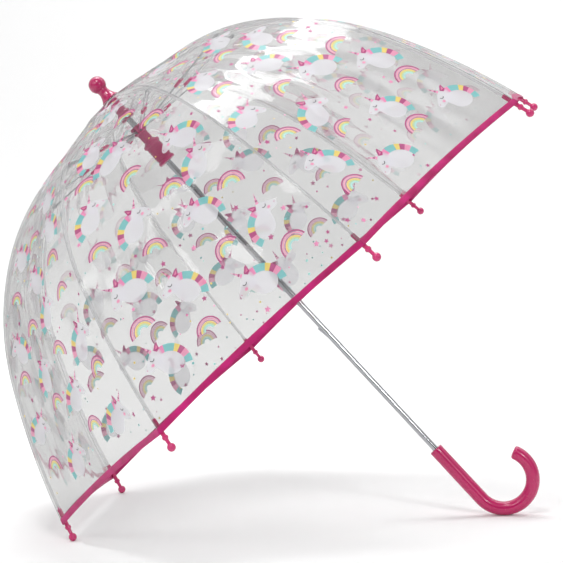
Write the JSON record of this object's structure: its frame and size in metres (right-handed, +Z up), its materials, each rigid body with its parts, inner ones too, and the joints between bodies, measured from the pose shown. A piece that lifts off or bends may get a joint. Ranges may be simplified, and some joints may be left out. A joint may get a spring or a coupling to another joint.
{
  "type": "child's dome umbrella",
  "caption": "Child's clear dome umbrella, open: printed film on hinged ribs and stretchers, runner, steel shaft, ball ferrule and hooked handle.",
  "frame": {"origin": "on the floor, under the middle of the bounding box, with the umbrella resting open on two rib tips and its hook", "axes": "+Z up, +X from the dome towards the handle, +Y across; the shaft lies in the XZ plane, 48.2 degrees below +X"},
  "size_m": [0.5752, 0.671, 0.5512],
  "materials": {
    "ferrule": "gloss",
    "washer": "clear",
    "crown": "gloss",
    "wire": "plain wire",
    "shaft": "polished",
    "catch": "spring steel",
    "handle": "gloss",
    "runner": "gloss",
    "rib": "pale glass-fibre rod",
    "stretcher": "plated wire",
    "tip": "gloss",
    "film": "clear printed film with coloured binding"
  },
  "bodies": {
    "shaft": {"ferrule": "ferrule", "film_washer": "washer", "crown": "crown", "crown_ring": "wire", "shaft": "shaft", "handle": "handle"},
    "top_catch": {"top_catch": "catch"},
    "low_catch": {"low_catch": "catch"},
    "runner": {"runner": "runner", "runner_ring": "wire"},
    "rib_upper_0": {"rib_upper_0": "rib"},
    "rib_mid_0": {"rib_mid_0": "rib", "panel_0": "film"},
    "rib_lower_0": {"rib_lower_0": "rib", "tip_0": "tip"},
    "stretcher_0": {"stretcher_0": "stretcher"},
    "rib_upper_1": {"rib_upper_1": "rib"},
    "rib_mid_1": {"rib_mid_1": "rib", "panel_1": "film"},
    "rib_lower_1": {"rib_lower_1": "rib", "tip_1": "tip"},
    "stretcher_1": {"stretcher_1": "stretcher"},
    "rib_upper_2": {"rib_upper_2": "rib"},
    "rib_mid_2": {"rib_mid_2": "rib", "panel_2": "film"},
    "rib_lower_2": {"rib_lower_2": "rib", "tip_2": "tip"},
    "stretcher_2": {"stretcher_2": "stretcher"},
    "rib_upper_3": {"rib_upper_3": "rib"},
    "rib_mid_3": {"rib_mid_3": "rib", "panel_3": "film"},
    "rib_lower_3": {"rib_lower_3": "rib", "tip_3": "tip"},
    "stretcher_3": {"stretcher_3": "stretcher"},
    "rib_upper_4": {"rib_upper_4": "rib"},
    "rib_mid_4": {"rib_mid_4": "rib", "panel_4": "film"},
    "rib_lower_4": {"rib_lower_4": "rib", "tip_4": "tip"},
    "stretcher_4": {"stretcher_4": "stretcher"},
    "rib_upper_5": {"rib_upper_5": "rib"},
    "rib_mid_5": {"rib_mid_5": "rib", "panel_5": "film"},
    "rib_lower_5": {"rib_lower_5": "rib", "tip_5": "tip"},
    "stretcher_5": {"stretcher_5": "stretcher"},
    "rib_upper_6": {"rib_upper_6": "rib"},
    "rib_mid_6": {"rib_mid_6": "rib", "panel_6": "film"},
    "rib_lower_6": {"rib_lower_6": "rib", "tip_6": "tip"},
    "stretcher_6": {"stretcher_6": "stretcher"},
    "rib_upper_7": {"rib_upper_7": "rib"},
    "rib_mid_7": {"rib_mid_7": "rib", "panel_7": "film"},
    "rib_lower_7": {"rib_lower_7": "rib", "tip_7": "tip"},
    "stretcher_7": {"stretcher_7": "stretcher"}
  },
  "joints": [
    {"name": "rib_fold_0", "type": "hinge", "parent": "shaft", "child": "rib_upper_0", "pos_m": [-0.1678, 0.00249, 0.44459], "axis": [-0.2853, -0.9239, -0.2551], "range_deg": [0, 73.5], "deforming": ["panel_0", "panel_1", "panel_2", "panel_3", "panel_4", "panel_5", "panel_6", "panel_7"]},
    {"name": "rib_fold_1", "type": "hinge", "parent": "shaft", "child": "rib_upper_1", "pos_m": [-0.16518, 0.006, 0.44693], "axis": [-0.6887, -0.3827, -0.6158], "range_deg": [0, 73.5]},
    {"name": "rib_fold_2", "type": "hinge", "parent": "shaft", "child": "rib_upper_2", "pos_m": [-0.16147, 0.006, 0.45025], "axis": [-0.6887, 0.3827, -0.6158], "range_deg": [0, 73.5]},
    {"name": "rib_fold_3", "type": "hinge", "parent": "shaft", "child": "rib_upper_3", "pos_m": [-0.15885, 0.00249, 0.45259], "axis": [-0.2853, 0.9239, -0.2551], "range_deg": [0, 73.5]},
    {"name": "rib_fold_4", "type": "hinge", "parent": "shaft", "child": "rib_upper_4", "pos_m": [-0.15885, -0.00249, 0.45259], "axis": [0.2853, 0.9239, 0.2551], "range_deg": [0, 73.5]},
    {"name": "rib_fold_5", "type": "hinge", "parent": "shaft", "child": "rib_upper_5", "pos_m": [-0.16147, -0.006, 0.45025], "axis": [0.6887, 0.3827, 0.6158], "range_deg": [0, 73.5]},
    {"name": "rib_fold_6", "type": "hinge", "parent": "shaft", "child": "rib_upper_6", "pos_m": [-0.16518, -0.006, 0.44693], "axis": [0.6887, -0.3827, 0.6158], "range_deg": [0, 73.5]},
    {"name": "rib_fold_7", "type": "hinge", "parent": "shaft", "child": "rib_upper_7", "pos_m": [-0.1678, -0.00249, 0.44459], "axis": [0.2853, -0.9239, 0.2551], "range_deg": [0, 73.5]},
    {"name": "joiner_0", "type": "hinge", "parent": "rib_upper_0", "child": "stretcher_0", "pos_m": [-0.26179, 0.0586, 0.34647], "axis": [-0.2853, -0.9239, -0.2551], "range_deg": [-147, 0]},
    {"name": "rib_flex_0", "type": "hinge", "parent": "rib_upper_0", "child": "rib_mid_0", "pos_m": [-0.27542, 0.07218, 0.31253], "axis": [-0.2853, -0.9239, -0.2551], "range_deg": [-29.4, 0]},
    {"name": "rib_bow_0", "type": "hinge", "parent": "rib_mid_0", "child": "rib_lower_0", "pos_m": [-0.27892, 0.10702, 0.19024], "axis": [-0.2853, -0.9239, -0.2551], "range_deg": [-14.7, 0]},
    {"name": "joiner_1", "type": "hinge", "parent": "rib_upper_1", "child": "stretcher_1", "pos_m": [-0.20001, 0.14147, 0.4017], "axis": [-0.6887, -0.3827, -0.6158], "range_deg": [-147, 0]},
    {"name": "rib_flex_1", "type": "hinge", "parent": "rib_upper_1", "child": "rib_mid_1", "pos_m": [-0.19933, 0.17425, 0.38057], "axis": [-0.6887, -0.3827, -0.6158], "range_deg": [-29.4, 0]},
    {"name": "rib_bow_1", "type": "hinge", "parent": "rib_mid_1", "child": "rib_lower_1", "pos_m": [-0.16609, 0.25837, 0.29112], "axis": [-0.6887, -0.3827, -0.6158], "range_deg": [-14.7, 0]},
    {"name": "joiner_2", "type": "hinge", "parent": "rib_upper_2", "child": "stretcher_2", "pos_m": [-0.11264, 0.14147, 0.47982], "axis": [-0.6887, 0.3827, -0.6158], "range_deg": [-147, 0]},
    {"name": "rib_flex_2", "type": "hinge", "parent": "rib_upper_2", "child": "rib_mid_2", "pos_m": [-0.09172, 0.17425, 0.47678], "axis": [-0.6887, 0.3827, -0.6158], "range_deg": [-29.4, 0]},
    {"name": "rib_bow_2", "type": "hinge", "parent": "rib_mid_2", "child": "rib_lower_2", "pos_m": [-0.00653, 0.25837, 0.43378], "axis": [-0.6887, 0.3827, -0.6158], "range_deg": [-14.7, 0]},
    {"name": "joiner_3", "type": "hinge", "parent": "rib_upper_3", "child": "stretcher_3", "pos_m": [-0.05087, 0.0586, 0.53505], "axis": [-0.2853, 0.9239, -0.2551], "range_deg": [-147, 0]},
    {"name": "rib_flex_3", "type": "hinge", "parent": "rib_upper_3", "child": "rib_mid_3", "pos_m": [-0.01562, 0.07218, 0.54482], "axis": [-0.2853, 0.9239, -0.2551], "range_deg": [-29.4, 0]},
    {"name": "rib_bow_3", "type": "hinge", "parent": "rib_mid_3", "child": "rib_lower_3", "pos_m": [0.10629, 0.10702, 0.53466], "axis": [-0.2853, 0.9239, -0.2551], "range_deg": [-14.7, 0]},
    {"name": "joiner_4", "type": "hinge", "parent": "rib_upper_4", "child": "stretcher_4", "pos_m": [-0.05087, -0.0586, 0.53505], "axis": [0.2853, 0.9239, 0.2551], "range_deg": [-147, 0]},
    {"name": "rib_flex_4", "type": "hinge", "parent": "rib_upper_4", "child": "rib_mid_4", "pos_m": [-0.01562, -0.07218, 0.54482], "axis": [0.2853, 0.9239, 0.2551], "range_deg": [-29.4, 0]},
    {"name": "rib_bow_4", "type": "hinge", "parent": "rib_mid_4", "child": "rib_lower_4", "pos_m": [0.10629, -0.10702, 0.53466], "axis": [0.2853, 0.9239, 0.2551], "range_deg": [-14.7, 0]},
    {"name": "joiner_5", "type": "hinge", "parent": "rib_upper_5", "child": "stretcher_5", "pos_m": [-0.11264, -0.14147, 0.47982], "axis": [0.6887, 0.3827, 0.6158], "range_deg": [-147, 0]},
    {"name": "rib_flex_5", "type": "hinge", "parent": "rib_upper_5", "child": "rib_mid_5", "pos_m": [-0.09172, -0.17425, 0.47678], "axis": [0.6887, 0.3827, 0.6158], "range_deg": [-29.4, 0]},
    {"name": "rib_bow_5", "type": "hinge", "parent": "rib_mid_5", "child": "rib_lower_5", "pos_m": [-0.00653, -0.25837, 0.43378], "axis": [0.6887, 0.3827, 0.6158], "range_deg": [-14.7, 0]},
    {"name": "joiner_6", "type": "hinge", "parent": "rib_upper_6", "child": "stretcher_6", "pos_m": [-0.20001, -0.14147, 0.4017], "axis": [0.6887, -0.3827, 0.6158], "range_deg": [-147, 0]},
    {"name": "rib_flex_6", "type": "hinge", "parent": "rib_upper_6", "child": "rib_mid_6", "pos_m": [-0.19933, -0.17425, 0.38057], "axis": [0.6887, -0.3827, 0.6158], "range_deg": [-29.4, 0]},
    {"name": "rib_bow_6", "type": "hinge", "parent": "rib_mid_6", "child": "rib_lower_6", "pos_m": [-0.16609, -0.25837, 0.29112], "axis": [0.6887, -0.3827, 0.6158], "range_deg": [-14.7, 0]},
    {"name": "joiner_7", "type": "hinge", "parent": "rib_upper_7", "child": "stretcher_7", "pos_m": [-0.26179, -0.0586, 0.34647], "axis": [0.2853, -0.9239, 0.2551], "range_deg": [-147, 0]},
    {"name": "rib_flex_7", "type": "hinge", "parent": "rib_upper_7", "child": "rib_mid_7", "pos_m": [-0.27542, -0.07218, 0.31253], "axis": [0.2853, -0.9239, 0.2551], "range_deg": [-29.4, 0]},
    {"name": "rib_bow_7", "type": "hinge", "parent": "rib_mid_7", "child": "rib_lower_7", "pos_m": [-0.27892, -0.10702, 0.19024], "axis": [0.2853, -0.9239, 0.2551], "range_deg": [-14.7, 0]},
    {"name": "runner_carry", "type": "hinge", "parent": "stretcher_0", "child": "runner", "pos_m": [-0.15381, 0.00249, 0.42893], "axis": [-0.2853, -0.9239, -0.2551], "range_deg": [0, 73.5]},
    {"name": "top_catch_press", "type": "slide", "parent": "shaft", "child": "top_catch", "axis": [-0.7455, 0, -0.6665], "range_m": [0, 0.0015], "stiffness_N_per_m": 400},
    {"name": "low_catch_press", "type": "slide", "parent": "shaft", "child": "low_catch", "axis": [0.7455, 0, 0.6665], "range_m": [0, 0.0015], "stiffness_N_per_m": 400}
  ],
  "couplings": [
    {"joint": "joiner_0", "follows": "rib_fold_0", "ratio": -2},
    {"joint": "rib_flex_0", "follows": "rib_fold_0", "ratio": -0.4},
    {"joint": "rib_bow_0", "follows": "rib_fold_0", "ratio": -0.2},
    {"joint": "rib_fold_1", "follows": "rib_fold_0", "ratio": 1},
    {"joint": "joiner_1", "follows": "rib_fold_0", "ratio": -2},
    {"joint": "rib_flex_1", "follows": "rib_fold_0", "ratio": -0.4},
    {"joint": "rib_bow_1", "follows": "rib_fold_0", "ratio": -0.2},
    {"joint": "rib_fold_2", "follows": "rib_fold_0", "ratio": 1},
    {"joint": "joiner_2", "follows": "rib_fold_0", "ratio": -2},
    {"joint": "rib_flex_2", "follows": "rib_fold_0", "ratio": -0.4},
    {"joint": "rib_bow_2", "follows": "rib_fold_0", "ratio": -0.2},
    {"joint": "rib_fold_3", "follows": "rib_fold_0", "ratio": 1},
    {"joint": "joiner_3", "follows": "rib_fold_0", "ratio": -2},
    {"joint": "rib_flex_3", "follows": "rib_fold_0", "ratio": -0.4},
    {"joint": "rib_bow_3", "follows": "rib_fold_0", "ratio": -0.2},
    {"joint": "rib_fold_4", "follows": "rib_fold_0", "ratio": 1},
    {"joint": "joiner_4", "follows": "rib_fold_0", "ratio": -2},
    {"joint": "rib_flex_4", "follows": "rib_fold_0", "ratio": -0.4},
    {"joint": "rib_bow_4", "follows": "rib_fold_0", "ratio": -0.2},
    {"joint": "rib_fold_5", "follows": "rib_fold_0", "ratio": 1},
    {"joint": "joiner_5", "follows": "rib_fold_0", "ratio": -2},
    {"joint": "rib_flex_5", "follows": "rib_fold_0", "ratio": -0.4},
    {"joint": "rib_bow_5", "follows": "rib_fold_0", "ratio": -0.2},
    {"joint": "rib_fold_6", "follows": "rib_fold_0", "ratio": 1},
    {"joint": "joiner_6", "follows": "rib_fold_0", "ratio": -2},
    {"joint": "rib_flex_6", "follows": "rib_fold_0", "ratio": -0.4},
    {"joint": "rib_bow_6", "follows": "rib_fold_0", "ratio": -0.2},
    {"joint": "rib_fold_7", "follows": "rib_fold_0", "ratio": 1},
    {"joint": "joiner_7", "follows": "rib_fold_0", "ratio": -2},
    {"joint": "rib_flex_7", "follows": "rib_fold_0", "ratio": -0.4},
    {"joint": "rib_bow_7", "follows": "rib_fold_0", "ratio": -0.2},
    {"joint": "runner_carry", "follows": "rib_fold_0", "ratio": 1}
  ]
}
